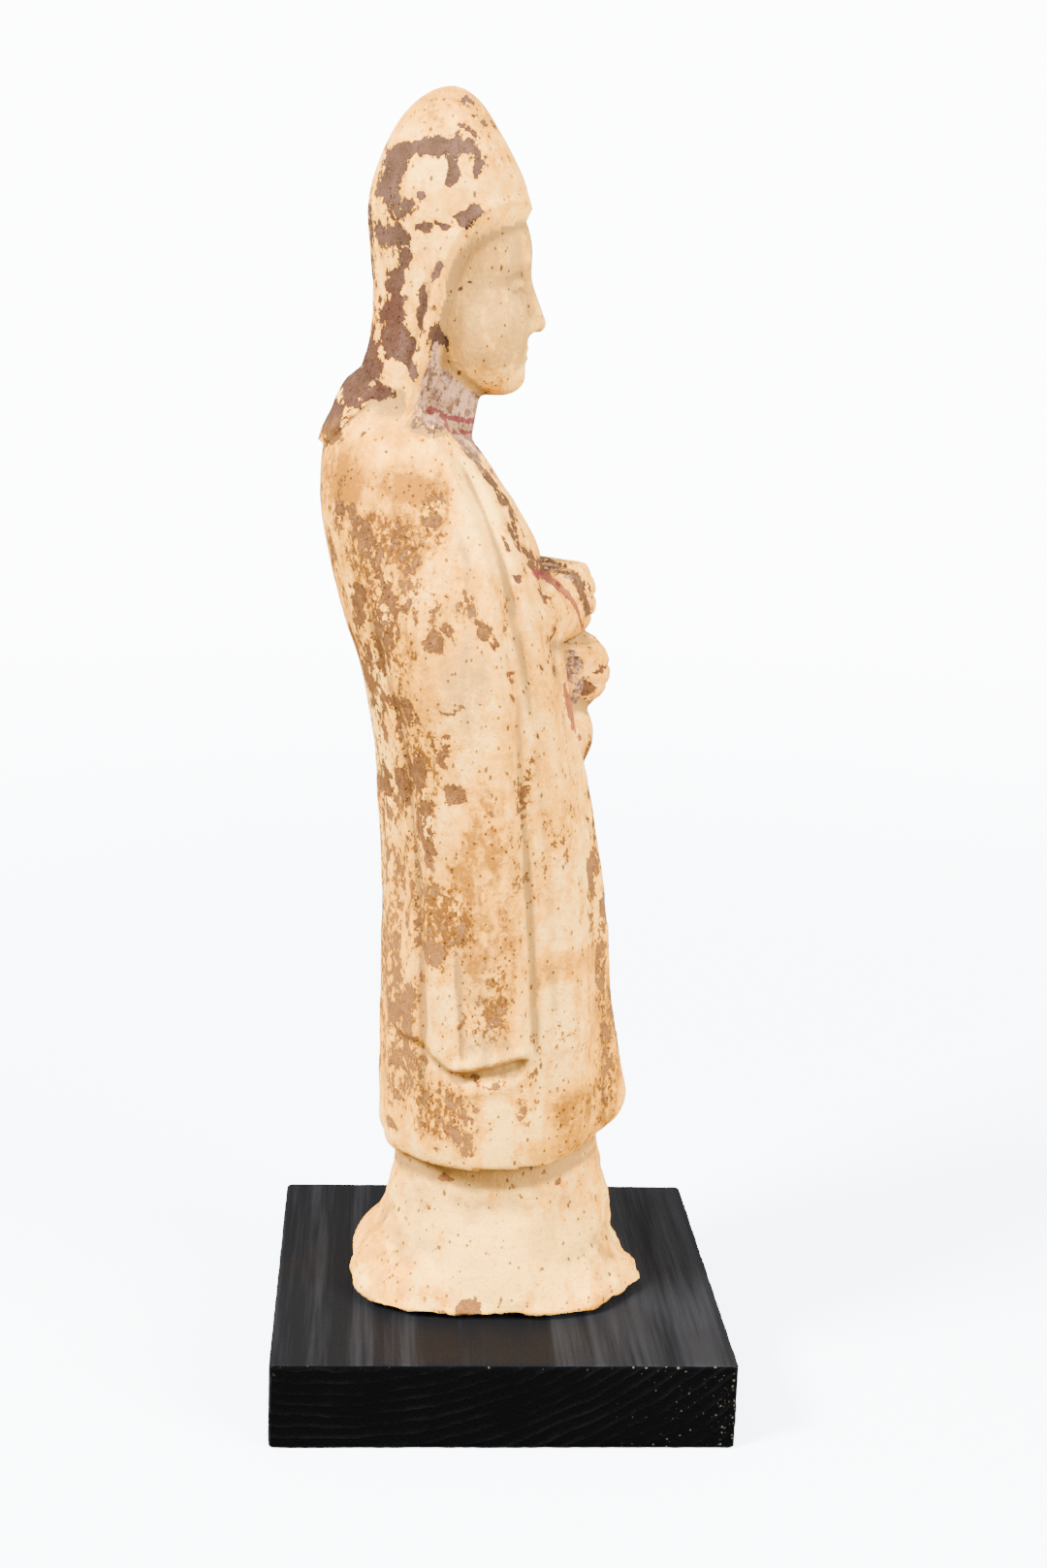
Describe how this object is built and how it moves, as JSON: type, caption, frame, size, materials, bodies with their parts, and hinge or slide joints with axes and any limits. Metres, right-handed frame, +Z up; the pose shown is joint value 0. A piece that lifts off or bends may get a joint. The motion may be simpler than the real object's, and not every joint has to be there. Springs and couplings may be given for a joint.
{
  "type": "pottery attendant figure",
  "caption": "Slender moulded figure in a tall hood and a draped cloak with hanging empty sleeves, fists stacked in front, standing on a square wooden block.",
  "frame": {"origin": "middle of the block's underside", "axes": "+Z up, the figure faces -Y, and its left side is at +X"},
  "size_m": [0.1, 0.103, 0.2906],
  "materials": {
    "slipped_pottery": "matt cream slip over bare brown clay, worn and soil stained, with traces of red paint",
    "stained_wood": "black stain with the grain showing, low sheen"
  },
  "bodies": {
    "root": {"attendant_figure": "slipped_pottery", "wooden_stand": "stained_wood"}
  },
  "joints": []
}
